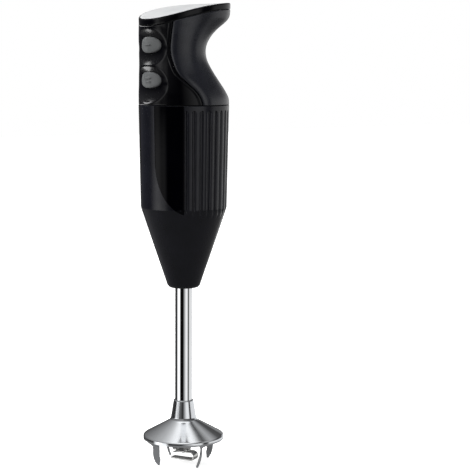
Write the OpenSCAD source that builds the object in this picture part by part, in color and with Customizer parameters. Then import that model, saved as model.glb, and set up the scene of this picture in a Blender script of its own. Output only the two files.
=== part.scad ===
// Hand-held immersion blender: motor handle, drive shaft, guard and push-on blade.
// Millimetres. The origin is on the shaft axis, in the plane of the guard's feet,
// +Z points up the shaft and the two push buttons face -Y.

/* [Motor housing] */
// Radius of the motor housing at the joint with the handle
housing_r = 33; // [30:0.5:36]
// Radius of the motor housing where the nose cone starts
cone_r = 31.5; // [29:0.5:33]
// Radius of the nose at its lower end
nose_r = 12; // [10.5:0.5:14]
// Height of the nose's lower end
nose_z = 132.5; // [125:0.5:140]
// Height where the nose cone starts
cone_z = 191.5; // [186:0.5:196]
// Height of the joint between motor housing and handle
joint_z = 267; // [266:0.5:268]
// Wall thickness of the motor housing
housing_wall = 2.2; // [1.8:0.1:3]

/* [Handle] */
// Wall thickness of the handle shells
handle_wall = 2.4; // [2:0.1:3]
// Gap at the seams between the handle's pieces
seam = 0.3; // [0.1:0.05:0.4]
// Radius of the domed top, seen from the side
top_r = 170; // [165:1:180]
// Thickness of the top cap
cap_t = 4.3; // [3.5:0.1:5]

/* [Buttons] */
// Width of a button
button_w = 26; // [22:0.5:28]
// Height of a button
button_h = 11.6; // [9:0.1:13]
// Height of the lower button's centre
button_low_z = 285; // [283:0.5:286]
// Height of the upper button's centre
button_high_z = 310; // [308:0.5:311]
// Travel of a button
button_travel = 2; // [1:0.1:2.2]

/* [Shaft] */
// Outer radius of the shaft tube
tube_r = 6.4; // [6:0.1:7]
// Wall thickness of the shaft tube
tube_wall = 1.2; // [0.8:0.1:1.4]
// Radius of the drive shaft
shaft_r = 2.5; // [2:0.1:2.5]
// Running clearance round a shaft or a plunger
running = 0.05; // [0.02:0.01:0.08]

/* [Guard] */
// Radius of the guard's rim
rim_r = 30.1; // [29:0.1:31]
// Height of the rim's lower edge
rim_z = 18.2; // [17.5:0.1:19]
// Thickness of the guard's sheet
guard_t = 1.3; // [1:0.1:1.5]
// Width of a foot
foot_w = 5.1; // [4.5:0.1:5.5]
// Thickness of a foot
foot_t = 1.6; // [1.3:0.1:1.8]
// Distance of a foot from the axis
foot_r = 24; // [23:0.5:24.5]
// Angle by which a foot is turned away from the radius
foot_turn = -33; // [-40:1:-25]

/* [Blade] */
// Thickness of the blade's steel
blade_t = 1; // [0.8:0.1:1.2]
// Length of the longest blade arm from the axis
blade_r = 18.5; // [15:0.5:19]
// Direction of the folded arm
blade_angle = 29; // [0:1:60]
// Outer radius of the blade's hub
hub_r = 5.5; // [5.2:0.1:6]
// Height of the hub's top
hub_top = 28.5; // [27:0.5:29]

/* [Hidden] */
$fn = 96;

eps = 0.01;
black = "#15161a";
charcoal = "#2b2d33";
light_grey = "#8b9193";
steel = "#c9ccd0";
brass = "#c8a04a";
copper = "#b4623a";

// ---------------------------------------------------------------- handle surface

// Stations up the handle: height, front, back, half width
HANDLE = [
    [266, -33.0, 33.0, 33.0], [271.5, -32.9, 32.4, 32.9], [277, -32.8, 29.2, 32.3],
    [284, -32.4, 23.5, 31.2],
    [292, -31.9, 17.2, 29.6], [299, -31.5, 12.7, 28.5], [305, -31.4, 11.2, 28.0],
    [311, -31.6, 12.3, 28.1], [317, -32.0, 16.5, 28.5], [322, -32.4, 22.2, 28.9],
    [326.5, -32.6, 28.8, 29.3], [330, -32.8, 32.3, 29.7], [334, -32.9, 33.2, 30.0],
    [342, -33.0, 33.2, 30.2]
];
// Heights of the rings that the handle's skin is built on
handle_rings = concat([for (z = [joint_z:4:322]) z], [325, 327.5, 330, 332, 336, 342]);
handle_top = 342;
ring_points = 48;

// Index of the station below height z
function below(t, z, i = 0) = i >= len(t) - 2 || z < t[i + 1][0] ? i : below(t, z, i + 1);

// Slope of column k at station i
function slope(t, i, k) =
    let (a = max(i - 1, 0), b = min(i + 1, len(t) - 1))
    (t[b][k] - t[a][k]) / (t[b][0] - t[a][0]);

// Smooth value of column k at height z
function at(t, z, k) =
    let (i = below(t, z), d = t[i + 1][0] - t[i][0], s = (z - t[i][0]) / d)
    t[i][k] * (2 * s^3 - 3 * s^2 + 1) + slope(t, i, k) * d * (s^3 - 2 * s^2 + s)
    + t[i + 1][k] * (3 * s^2 - 2 * s^3) + slope(t, i + 1, k) * d * (s^3 - s^2);

// Power of a sine or cosine that keeps its sign
function rounded(v, n) = sign(v) * abs(v)^(2 / n);

// One closed ring of the handle's skin at height z, moved in by inset
function ring(z, inset) =
    let (front = at(HANDLE, z, 1), back = at(HANDLE, z, 2), half = at(HANDLE, z, 3),
         n = 2 + 0.3 * (z - joint_z) / (handle_top - joint_z))
    [for (i = [0:ring_points - 1]) let (a = 360 * i / ring_points)
        [(half - inset) * rounded(sin(a), n),
         (front + back) / 2 - ((back - front) / 2 - inset) * rounded(cos(a), n), z]];

// Solid inside the handle's skin, moved in by inset
module handle_solid(inset = 0) {
    n = ring_points;
    m = len(handle_rings);
    points = [for (z = handle_rings) each ring(z, inset)];
    sides = [for (j = [0:m - 2], i = [0:n - 1]) let (a = j * n + i, b = j * n + (i + 1) % n)
        each [[a, b + n, b], [a, a + n, b + n]]];
    caps = [[for (i = [0:n - 1]) i], [for (i = [0:n - 1]) m * n - 1 - i]];
    polyhedron(points = points, faces = concat(sides, caps));
}

// Everything under a domed surface of radius r
dome_y = 31.2;
dome_z = 170.6;
module under_dome(r) {
    translate([-60, dome_y, dome_z]) rotate([0, 90, 0]) cylinder(r = r, h = 120, $fn = 180);
}

// Side outline of the seam between front shell and rear grip: distance back, height
GRIP_EDGE = [
    [266, -4.5], [272, -6.4], [277, -9.7], [282.5, -15.4], [289, -21.1], [298, -24.2],
    [307, -25.4], [318, -24.9], [327, -23.9], [345, -22.5]
];
module front_side(shift) {
    edge = [for (z = [joint_z:3:345]) [at(GRIP_EDGE, z, 1) + shift, z]];
    rotate([90, 0, 90]) translate([0, 0, -60]) linear_extrude(120)
        polygon(concat([[-60, joint_z]], edge, [[-60, 345]]));
}

// ---------------------------------------------------------------- housing and handle

ribs = 24;
rib_first = 59.25;
rib_z0 = 188.5;
rib_z1 = 264;

// Groove between two ribs: a slot with round ends, cut into the wall
module rib_groove() {
    w = 1.8;
    lean = atan((housing_r - cone_r) / (joint_z - cone_z));
    translate([0, -(cone_r - 0.85), rib_z0]) rotate([lean, 0, 0]) {
        translate([-w / 2, -4, w / 2]) cube([w, 4, rib_z1 - rib_z0 - w]);
        for (z = [w / 2, rib_z1 - rib_z0 - w / 2])
            translate([0, 0, z]) rotate([90, 0, 0]) cylinder(d = w, h = 4, $fn = 24);
    }
}

module lower_housing() color(black) {
    w = housing_wall;
    boss_r = tube_r + 3;
    difference() {
        union() {
            rotate_extrude($fn = 128) polygon([
                [tube_r + 0.02, nose_z], [nose_r - 1.5, nose_z], [nose_r - 0.4, nose_z + 0.5],
                [nose_r, nose_z + 1.6], [cone_r - 0.9, cone_z - 2.4], [cone_r, cone_z + 1.2],
                [housing_r, joint_z], [housing_r - w - 2.6, joint_z],
                [housing_r - w - 0.2, joint_z - 3], [cone_r - w, cone_z + 0.5],
                [nose_r + 3.2, 152], [boss_r, 150], [tube_r + 0.02, 150]
            ]);
            // spigot that centres the handle shells
            translate([0, 0, joint_z - 1]) difference() {
                cylinder(r = 27, h = 4.5);
                translate([0, 0, -1]) cylinder(r = 25, h = 7);
            }
            translate([0, 0, joint_z - 1]) difference() {
                cylinder(r = housing_r - w - 2, h = 1);
                translate([0, 0, -1]) cylinder(r = 25, h = 3);
            }
            // four pads that carry the motor's damper ring
            for (a = [45:90:315]) rotate(a) translate([20, -3, 183]) cube([7.4, 6, 3.15]);
        }
        step = (360 - 2 * rib_first) / (ribs - 1);
        for (i = [0:ribs - 1]) rotate(rib_first + i * step) rib_groove();
    }
}

// Finger dish round a button: a round groove that follows the convex front
module finger_dish(z) {
    floor_y = -28.7;
    axis_y = 60;
    sweep_r = 28.5;
    translate([0, axis_y, z - 2.4]) rotate(-90) rotate([0, 0, -20])
        rotate_extrude(angle = 40, $fn = 96)
            translate([axis_y - floor_y + sweep_r, 0]) circle(r = sweep_r, $fn = 48);
}

// Wide oval, used for the buttons and the holes they stand in
module button_oval(grow) polygon([for (i = [0:47]) let (a = i * 7.5)
    [(button_w / 2 + grow) * rounded(cos(a), 2.25), (button_h / 2 + grow) * rounded(sin(a), 2.25)]]);

module front_shell() color(black) {
    difference() {
        intersection() {
            difference() {
                handle_solid();
                difference() {
                    handle_solid(handle_wall);
                    translate([-21, -40, 260]) cube([42, 40 + carrier_y - 0.05, 61]);
                }
                translate([0, 0, joint_z - 1]) cylinder(r = 27.3, h = 5);
                translate([0, 0, joint_z - 1]) cylinder(r = gasket_r + 0.2, h = 1.8);
            }
            under_dome(top_r - cap_t - seam);
            front_side(-seam);
        }
        for (z = [button_low_z, button_high_z]) {
            finger_dish(z);
            translate([0, -20, z]) rotate([90, 0, 0]) linear_extrude(20) button_oval(0.35);
        }
        // four pilot holes for the carrier's screws
        for (x = [-1, 1] * carrier_x, z = carrier_screw_z) translate([x, -27.3, z])
            rotate([-90, 0, 0]) cylinder(r = 0.85, h = 8, $fn = 24);
    }
    // pillar for the front cap screw, tied to the front wall
    difference() {
        union() {
            translate([0, cap_screw_y[0], 321.2]) cylinder(r = 3, h = 6.9);
            translate([-2, -30.4, 321.2]) cube([4, 6, 2.4]);
        }
        translate([0, cap_screw_y[0], 321]) cylinder(r = 1.15, h = 8, $fn = 24);
    }
}

// The resize keeps the size and only joins the facets into one closed mesh
module rear_grip() color(charcoal) resize([0, 0, 0]) {
    difference() {
        intersection() {
            difference() {
                handle_solid();
                handle_solid(handle_wall);
                translate([0, 0, joint_z - 1]) cylinder(r = 27.3, h = 5);
            }
            under_dome(top_r - cap_t - seam);
            difference() {
                translate([-40, -40, joint_z]) cube([80, 80, 80]);
                front_side(seam - 0.15);
            }
        }
        inlet_place() cylinder(r = 5.55, h = 30, center = true);
    }
    // pillar for the rear cap screw, tied to the back wall
    difference() {
        union() {
            translate([0, cap_screw_y[1], 331.5]) cylinder(r = 3, h = 5.6);
            translate([-3.3, cap_screw_y[1], 331.7]) cube([6.6, 6.25, 3.3]);
        }
        translate([0, cap_screw_y[1], 331]) cylinder(r = 1.15, h = 8, $fn = 24);
    }
}

// Cap screws: distance back, and the height of a head's top just under the rating plate
cap_screw_y = [-22, 25.3];
function cap_screw_top(y) = dome_z + sqrt((top_r - 0.8)^2 - (y - 1.75 - dome_y)^2) - 0.1;

module top_cap() color(black) difference() {
    intersection() {
        handle_solid();
        difference() {
            under_dome(top_r);
            under_dome(top_r - cap_t);
        }
    }
    // pocket underneath
    intersection() {
        handle_solid(handle_wall + 0.6);
        under_dome(top_r - 3);
    }
    // recess for the rating plate
    difference() {
        handle_solid(1);
        under_dome(top_r - 0.8);
    }
    for (y = cap_screw_y) translate([0, y, cap_screw_top(y)]) {
        translate([0, 0, -20]) cylinder(r = 1.2, h = 30, $fn = 32);
        translate([0, 0, -1.02]) cylinder(r = 1.75, h = 10, $fn = 32);
    }
}

module rating_plate() color("#dfe1e3") intersection() {
    handle_solid(1.15);
    difference() {
        under_dome(top_r + 0.05);
        under_dome(top_r - 0.75);
    }
}

module cap_gasket() color("#1b1b1b") difference() {
    intersection() {
        difference() {
            handle_solid(0.7);
            handle_solid(handle_wall - 0.1);
        }
        under_dome(top_r - cap_t - 0.02);
    }
    under_dome(top_r - cap_t - seam + 0.02);
}

gasket_r = 28.6;
module housing_gasket() color("#1b1b1b") translate([0, 0, joint_z + 0.02]) difference() {
    cylinder(r = gasket_r, h = 0.6);
    translate([0, 0, -1]) cylinder(r = 27.02, h = 4);
}

// Countersunk or cheese-head screw pointing down -Z, with its head's top at the origin
module screw(r, length, head_r, head_h) {
    difference() {
        translate([0, 0, -head_h]) cylinder(r = head_r, h = head_h, $fn = 32);
        translate([-head_r, -0.3, -head_h * 0.45]) cube([2 * head_r, 0.6, head_h]);
    }
    translate([0, 0, -head_h - length]) cylinder(r = r, h = length + 0.1, $fn = 24);
}

module cap_screws() color(steel) for (y = cap_screw_y)
    translate([0, y, cap_screw_top(y)]) screw(1.1, 6, 1.65, 1);

// ---------------------------------------------------------------- cord inlet

inlet_r = 3.4;
inlet_length = 7;
module inlet_place() translate([0, 22.6, 322.4]) rotate([141.7, 0, 180]) children();

module cord_inlet_bush() color("#1b1b1b") inlet_place() difference() {
    translate([0, 0, -5.6]) union() {
        cylinder(r = 5.45, h = inlet_length);
        cylinder(r = 6.4, h = 1.6);
    }
    translate([0, 0, -8]) cylinder(r = inlet_r, h = 14);
}

module cord_clamp() color("#33363c") translate([0, 4.2, 325]) difference() {
    union() {
        translate([-11, -2.5, 0]) cube([22, 5, 2.2]);
        translate([-11, -2.5, -4.6]) cube([22, 5, 2]);
        for (x = [-11, 7]) translate([x, -2.5, -4.6]) cube([4, 5, 6]);
    }
    for (x = [-9, 9]) translate([x, 0, -6]) cylinder(r = 1.12, h = 9, $fn = 24);
}

module clamp_screws() color(steel) for (x = [-9, 9])
    translate([x, 4.2, 328.6]) screw(1.1, 6.5, 1.9, 1.3);

// ---------------------------------------------------------------- electrics

module terminal_block() color("#d9d4c4") translate([0, 1.2, 306]) difference() {
    translate([-11, -3.5, 0]) cube([22, 7, 9]);
    for (x = [-7.5, -2.5, 2.5, 7.5]) translate([x, 0, -1]) {
        cylinder(r = 1.3, h = 12, $fn = 24);
        translate([0, 0, 5]) rotate([-90, 0, 0]) cylinder(r = 1.2, h = 6, $fn = 24);
    }
}

board_y = -7.2;
module circuit_board() color("#2f6b46") difference() {
    translate([-17, board_y, 276]) cube([34, 1.6, 44]);
    for (x = [-14.5, 14.5], z = [279, 317]) translate([x, board_y - 1, z]) rotate([-90, 0, 0])
        cylinder(r = 1.3, h = 4, $fn = 24);
}

// Push switch: body on the board with a short actuator towards the plunger
module push_switch(z) color("#26272b") translate([0, board_y - eps, z]) {
    translate([-6.4, -6, -4.5]) cube([12.8, 6, 9]);
    for (x = [-4.2, 0, 4.2]) translate([x - 0.4, 1.62, -0.3]) cube([0.8, 1.6, 0.6]);
}
module switch_low() push_switch(button_low_z);
module switch_high() push_switch(button_high_z);

module rectifier() color("#202124") translate([6.5, board_y + 1.65, 291]) {
    translate([-5, 0, 0]) cube([10, 4.6, 9]);
    for (x = [-3.6, -1.2, 1.2, 3.6]) translate([x - 0.3, 1.4, -3]) cube([0.6, 0.5, 3.1]);
}

module capacitor() color("#a9782d") translate([-7.5, board_y + 1.65, 289.5]) {
    translate([-6, 0, 0]) cube([12, 6.4, 15]);
    for (x = [-4, 4]) translate([x, 3.2, -2.5]) cylinder(r = 0.4, h = 2.6, $fn = 24);
}

module motor_leads() color("#9d2f2b") for (s = [-1, 1]) translate([s * 11, -4.85, 256.2])
    cylinder(r = 0.8, h = 20.2, $fn = 24);

// ---------------------------------------------------------------- buttons

carrier_y = -23.4;
carrier_x = 15.6;
carrier_screw_z = [278, 316.5];
stem_r = 2.6;

// Guide plate behind the front shell: each plunger slides in its own sleeve
module button_carrier() color("#3a3d44") difference() {
    union() {
        translate([-18.2, carrier_y, 275]) cube([36.4, 2, 44.5]);
        for (z = [button_low_z, button_high_z]) translate([0, carrier_y, z]) rotate([-90, 0, 0])
            cylinder(r = stem_r + 1.8, h = 5.4);
    }
    for (z = [button_low_z, button_high_z]) translate([0, carrier_y - 1, z]) rotate([-90, 0, 0])
        cylinder(r = stem_r + running, h = 9);
    for (x = [-1, 1] * carrier_x, z = carrier_screw_z) translate([x, carrier_y - 1, z])
        rotate([-90, 0, 0]) cylinder(r = 1.25, h = 4, $fn = 24);
}

module carrier_screws() color(steel) for (x = [-1, 1] * carrier_x, z = carrier_screw_z)
    translate([x, carrier_y + 3.22, z]) rotate([-90, 0, 0]) screw(0.8, 5.4, 1.9, 1.2);

// Soft button cap: a wide oval whose face follows the convex front
module button_cap(z, bars) color(light_grey) translate([0, 0, z]) {
    face_r = 34;
    face_y = 3.0;
    skirt_y = carrier_y - button_travel - 0.2;
    intersection() {
        translate([0, skirt_y, 0]) rotate([90, 0, 0]) linear_extrude(10) button_oval(0);
        difference() {
            translate([0, face_y, -10]) cylinder(r = face_r, h = 20, $fn = 180);
            translate([0, face_y, -11]) cylinder(r = face_r - 4.4, h = 22, $fn = 180);
        }
    }
    // raised bars that tell the buttons apart by touch
    for (i = [0:bars - 1]) intersection() {
        translate([-3, -35, (i - (bars - 1) / 2) * 2.4 - 0.35]) cube([6, 10, 0.7]);
        difference() {
            translate([0, face_y, -10]) cylinder(r = face_r + 0.3, h = 20, $fn = 180);
            translate([0, face_y, -11]) cylinder(r = face_r - 1, h = 22, $fn = 180);
        }
    }
}
module button_low() button_cap(button_low_z, 2);
module button_high() button_cap(button_high_z, 1);

// Stiff plunger under the cap, which works the switch
stem_end = board_y - 6 - button_travel - 0.25;
module plunger(z) color("#44474e") translate([0, 0, z]) {
    intersection() {
        translate([0, -27.6, 0]) rotate([-90, 0, 0]) cylinder(r = stem_r, h = stem_end + 27.6);
        translate([0, 3.0, -10]) cylinder(r = 29.58, h = 20, $fn = 180);
    }
}
module plunger_low() plunger(button_low_z);
module plunger_high() plunger(button_high_z);

// ---------------------------------------------------------------- motor

stack_z0 = 203;
stack_z1 = 236;
stack_r = 26;
rotor_r = 15;
air_gap = 0.5;
motor_shaft_r = 2.5;

module stator_core() color("#6d7177") translate([0, 0, stack_z0]) difference() {
    intersection() {
        cylinder(r = stack_r, h = stack_z1 - stack_z0);
        translate([-stack_r, -22, -1]) cube([2 * stack_r, 44, 60]);
    }
    translate([0, 0, -1]) cylinder(r = rotor_r + air_gap, h = 60);
    // windows for the two field coils
    for (s = [-1, 1], m = [0, 1]) mirror([0, m, 0]) translate([s * 18.4, 8, -1])
        rotate(s * 20) translate([-2.6, -3.5, 0]) cube([5.2, 7, 60]);
    for (y = [-1, 1]) translate([0, y * 18.6, -1]) cylinder(r = 1.6, h = 60, $fn = 32);
}

// Field coils: two windings through the windows, with round end turns
module field_coils() color(copper) for (s = [-1, 1]) {
    for (m = [0, 1]) mirror([0, m, 0]) translate([s * 18.4, 8, stack_z0 - 3])
        rotate(s * 20) translate([-2.1, -3, 0]) cube([4.2, 6, stack_z1 - stack_z0 + 6]);
    for (z = [stack_z0 - 5.4, stack_z1 + 2.6]) translate([0, 0, z])
        rotate(s > 0 ? -27 : 153) rotate_extrude(angle = 54) translate([16.6, 0]) square([4.6, 2.8]);
}

bracket_z1 = 257;
bracket_z0 = 189.5;

// Spoked bearing bracket: hub, rim and four arms
module bracket(z, rim, hub_h) translate([0, 0, z]) difference() {
    union() {
        difference() {
            cylinder(r = rim, h = 3);
            translate([0, 0, -1]) cylinder(r = rim - 3.5, h = 5);
        }
        cylinder(r = 9.2, h = hub_h);
        for (a = [0, 90]) rotate(a) translate([-rim + 1, -3, 0]) cube([2 * rim - 2, 6, 3]);
    }
    translate([0, 0, -1]) cylinder(r = 5.5, h = hub_h + 2);
    for (y = [-1, 1]) translate([0, y * 18.6, -1]) cylinder(r = 1.6, h = 6, $fn = 32);
}
module upper_bracket() color("#3b3e44") bracket(bracket_z1, 30.1, 7);
module lower_bracket() color("#3b3e44") bracket(bracket_z0, 24.6, 7);

module plain_bearing(z) color(brass) translate([0, 0, z]) difference() {
    cylinder(r = 5.48, h = 7);
    translate([0, 0, -1]) cylinder(r = motor_shaft_r + running, h = 9);
}
module upper_bearing() plain_bearing(bracket_z1);
module lower_bearing() plain_bearing(bracket_z0);

brush_z = 250;
comm_r = 8;
module brush_holders() color(brass) for (s = [-1, 1]) translate([s * 10, 0, brush_z])
    difference() {
        translate([s > 0 ? 0 : -13, -4, -4]) cube([13, 8, bracket_z1 - brush_z + 3.98]);
        translate([s > 0 ? -1 : -11.6, -2.9, -2.9]) cube([12.6, 5.8, 5.8]);
    }
module carbon_brushes() color("#2a2a2c") for (s = [-1, 1]) difference() {
    translate([s > 0 ? comm_r - 0.6 : -(comm_r + 7.4), -2.8, brush_z - 2.8]) cube([8, 5.6, 5.6]);
    translate([0, 0, brush_z - 6]) cylinder(r = comm_r + 0.08, h = 12);
}
// Pressure springs behind the brushes, drawn as a corrugated sleeve
module brush_springs() color(steel) for (s = [-1, 1]) translate([s * 15.45, 0, brush_z])
    rotate([0, s * 90, 0]) rotate_extrude($fn = 32) polygon(concat(
        [[1.2, 0], [1.2, 6]],
        [for (i = [6:-1:0]) each [[2.4, i * 0.86 + 0.5], [1.9, i * 0.86 + 0.1]]]));

// Long screws that clamp brackets and stator together
module motor_screws() color(steel) for (y = [-1, 1]) translate([0, y * 18.6, 0]) {
    translate([0, 0, bracket_z1 + 3 + 2]) screw(1.5, bracket_z1 - bracket_z0 + 5, 2.8, 2);
    for (z = [stack_z1 + 0.02, bracket_z0 + 3.02]) translate([0, 0, z]) difference() {
        h = z > stack_z1 ? bracket_z1 - stack_z1 - 0.04 : stack_z0 - bracket_z0 - 3.04;
        cylinder(r = 3.2, h = h, $fn = 32);
        translate([0, 0, -1]) cylinder(r = 1.52, h = h + 2, $fn = 32);
    }
}

module motor_damper() color("#232323") translate([0, 0, bracket_z0 - 3.3]) difference() {
    cylinder(r = 23.8, h = 3.28);
    translate([0, 0, -1]) cylinder(r = 20.5, h = 6);
}

module motor_shaft() color(steel) translate([0, 0, 178]) {
    cylinder(r = motor_shaft_r, h = 88.5);
    translate([0, 0, 88.5]) cylinder(r1 = motor_shaft_r, r2 = motor_shaft_r - 0.6, h = 0.6);
}

module armature_core() color("#7c8086") translate([0, 0, stack_z0]) difference() {
    cylinder(r = rotor_r, h = stack_z1 - stack_z0);
    translate([0, 0, -1]) cylinder(r = motor_shaft_r, h = 60);
    for (a = [0:30:330]) rotate(a) translate([rotor_r - 4, 0, -1]) {
        translate([0, -0.8, 0]) cube([6, 1.6, 60]);
        translate([-1.4, 0, 0]) cylinder(r = 2, h = 60, $fn = 24);
    }
}

// Windings: wires in the slots and a rounded bundle at each end
module armature_windings() color(copper) {
    for (a = [0:30:330]) rotate(a) translate([rotor_r - 5.4, 0, stack_z0 - 1])
        cylinder(r = 1.8, h = stack_z1 - stack_z0 + 2, $fn = 24);
    for (z = [stack_z0 - 5.5, stack_z1 + 0.5]) translate([0, 0, z]) rotate_extrude()
        polygon([[motor_shaft_r, 0], [9, 0], [12, 1], [12.6, 2.5], [12, 4], [9, 5],
                 [motor_shaft_r, 5]]);
}

module commutator() color(brass) difference() {
    union() {
        translate([0, 0, 244.2]) cylinder(r = comm_r, h = 11);
        translate([0, 0, 242.4]) cylinder(r = comm_r + 1.2, h = 2);
    }
    translate([0, 0, 240]) cylinder(r = motor_shaft_r, h = 20);
    for (a = [0:30:330]) rotate(a + 15) translate([comm_r - 0.8, -0.25, 240]) cube([3, 0.5, 20]);
}

// ---------------------------------------------------------------- coupling and shaft

// Coupling half: a hub with three driving claws, which reach into the hub by 0.5
module claw_half(hub_z, hub_h, claw_z, turn, bore) translate([0, 0, hub_z]) difference() {
    union() {
        cylinder(r = 7, h = hub_h);
        for (a = [0:120:240]) rotate(a + turn) translate([0, 0, claw_z])
            rotate_extrude(angle = 40) translate([3.6, 0]) square([3.2, 4.5]);
    }
    translate([0, 0, -1]) cylinder(r = bore, h = hub_h + 10);
}
module coupling_top() color("#e6e3da") claw_half(173, 9, -4, 0, motor_shaft_r);
module coupling_bottom() color("#e6e3da") claw_half(159.8, 9, 8.5, 60, shaft_r);

// Rubber spider between the claws
module coupling_rubber() color("#7a2a22") translate([0, 0, 168.9]) difference() {
    union() {
        cylinder(r = 3.5, h = 4);
        for (a = [0:60:300]) rotate(a + 42) rotate_extrude(angle = 16)
            translate([3, 0]) square([3.6, 4]);
    }
    translate([0, 0, -1]) cylinder(r = 2.6, h = 6);
}

shaft_low = 11.4;
shaft_high = 168.6;
pin_z = 26.2;
pin_r = 0.9;
module drive_shaft() color(steel) difference() {
    union() {
        translate([0, 0, shaft_low + 0.8]) cylinder(r = shaft_r, h = shaft_high - shaft_low - 0.8);
        translate([0, 0, shaft_low]) cylinder(r1 = shaft_r - 0.8, r2 = shaft_r, h = 0.8);
    }
    translate([-5, 0, pin_z]) rotate([0, 90, 0]) cylinder(r = pin_r, h = 10, $fn = 32);
}
module cross_pin() color(steel) translate([-4.9, 0, pin_z]) rotate([0, 90, 0])
    cylinder(r = pin_r, h = 9.8, $fn = 32);

tube_low = 32;
tube_high = 150;
module shaft_tube() color(steel) translate([0, 0, tube_low]) difference() {
    cylinder(r = tube_r, h = tube_high - tube_low);
    translate([0, 0, -1]) cylinder(r = tube_r - tube_wall, h = tube_high - tube_low + 2);
}

module shaft_bush(z, h, flange) color(brass) translate([0, 0, z]) difference() {
    union() {
        cylinder(r = tube_r - tube_wall - 0.02, h = h);
        if (flange) translate([0, 0, h]) cylinder(r = tube_r - 0.4, h = 1.4);
    }
    translate([0, 0, -1]) cylinder(r = shaft_r + running, h = h + 4);
}
module upper_bush() shaft_bush(142, 8.02, true);
module middle_bush() shaft_bush(92, 8, false);
module lower_bush() shaft_bush(40, 9, false);

module lip_seal() color("#202020") translate([0, 0, 35.4]) rotate_extrude() polygon([
    [tube_r - tube_wall - 0.02, 0], [tube_r - tube_wall - 0.02, 4], [4.2, 4], [4.2, 1.4],
    [shaft_r + 0.09, 2.6], [shaft_r + 0.09, 1.8], [3.6, 0]
]);

module retaining_ring() color(steel) translate([0, 0, 34.2]) difference() {
    cylinder(r = tube_r - tube_wall - 0.02, h = 1);
    translate([0, 0, -1]) cylinder(r = 4, h = 3);
    translate([0, -1, -1]) cube([8, 2, 3]);
}

// ---------------------------------------------------------------- guard

bell_top = 31.8;
collar_top = 47.5;
rim_top = 20.9;

// One foot: a flat strip that leans in over its lower third and ends in a fang
module foot() {
    h = foot_w / 2;
    rotate([90, 0, 0]) translate([0, 0, -foot_t / 2]) linear_extrude(foot_t) polygon([
        [-h, 21], [-h, 6.6], [-h - 0.6, 4.2], [-2.6, 0], [-1.2, 0], [0.9, 2.8],
        [h - 0.5, 6.2], [h, 9.4], [h, 21]
    ]);
}

module guard() color(steel) difference() {
    union() {
        rotate_extrude($fn = 128) polygon([
            [tube_r + 0.02, tube_low + 0.4], [tube_r + 0.02, collar_top],
            [7.1, collar_top], [7.45, collar_top - 0.5], [9.4, bell_top + 2.6],
            [10.1, bell_top + 1], [11.2, bell_top], [rim_r - 2, rim_top + 1.4],
            [rim_r - 0.5, rim_top + 0.3], [rim_r, rim_top - 0.9], [rim_r, rim_z],
            [rim_r - guard_t, rim_z], [rim_r - guard_t - 0.3, rim_top - 0.8],
            [11.4, bell_top - 1.8], [9.6, bell_top - 0.6], [8.2, tube_low + 0.4]
        ]);
        for (a = [0:90:270]) rotate(a) {
            translate([foot_r, 0, 0]) rotate(foot_turn) foot();
            // pressed web between rim and foot
            hull() {
                translate([foot_r, 0, 17.6]) rotate(foot_turn)
                    translate([-foot_w / 2, -foot_t / 2, 0]) cube([foot_w, foot_t, 4]);
                for (b = [-11, 11]) rotate(b)
                    translate([rim_r - 1.25, -0.6, rim_z + 0.1]) cube([1, 1.2, 2]);
            }
        }
    }
    // keep the webs and feet under the bell
    rotate_extrude($fn = 128) polygon([
        [11, bell_top + 0.2], [rim_r - 1.9, rim_top + 1.55], [rim_r + 3, rim_top + 1.5],
        [rim_r + 3, 45], [11, 45]
    ]);
}

// ---------------------------------------------------------------- blade

blade_z = 8.6;
notch_z = pin_z - pin_r;

module hub_sleeve() color(steel) difference() {
    translate([0, 0, blade_z + blade_t]) cylinder(r = hub_r, h = hub_top - blade_z - blade_t);
    translate([0, 0, blade_z]) cylinder(r = hub_r - 0.9, h = 30);
    // two pairs of V notches that fall over the cross pin
    for (a = [0, 90]) rotate(a) translate([-8, 0, 0]) rotate([90, 0, 90]) linear_extrude(16)
        polygon([[-1, notch_z], [1, notch_z], [3.2, hub_top + 1], [-3.2, hub_top + 1]]);
}

module hub_liner() color("#ece9e0") translate([0, 0, blade_z + blade_t + 0.02]) difference() {
    cylinder(r = hub_r - 0.92, h = notch_z - blade_z - blade_t - 0.3);
    translate([0, 0, -1]) cylinder(r = shaft_r + running, h = 30);
}

// One tapered arm that leaves the centre plate and is bent up by an angle
module arm(length, tilt, w0, w1) {
    linear_extrude(blade_t) polygon([[0, -w0 / 2], [7.2, -w0 / 2], [7.2, w0 / 2], [0, w0 / 2]]);
    translate([7.0, 0, 0]) rotate([0, -tilt, 0]) linear_extrude(blade_t) polygon([
        [0, -w0 / 2], [length - 8.4, -w1 / 2], [length - 7.4, -w1 / 2 + 0.8],
        [length - 7.4, w1 / 2 - 0.8], [length - 8.4, w1 / 2], [0, w0 / 2]
    ]);
}

module cutter_arms() color(steel) translate([0, 0, blade_z]) difference() {
    union() {
        cylinder(r = hub_r, h = blade_t);
        rotate(blade_angle + 100) arm(blade_r, -8, 6.6, 2.2);
        rotate(blade_angle + 175) arm(blade_r, 58, 7.2, 3);
        rotate(blade_angle - 85) arm(blade_r, 14, 6.6, 2.6);
    }
    translate([0, 0, -1]) cylinder(r = 1.5, h = 4, $fn = 32);
}

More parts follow.
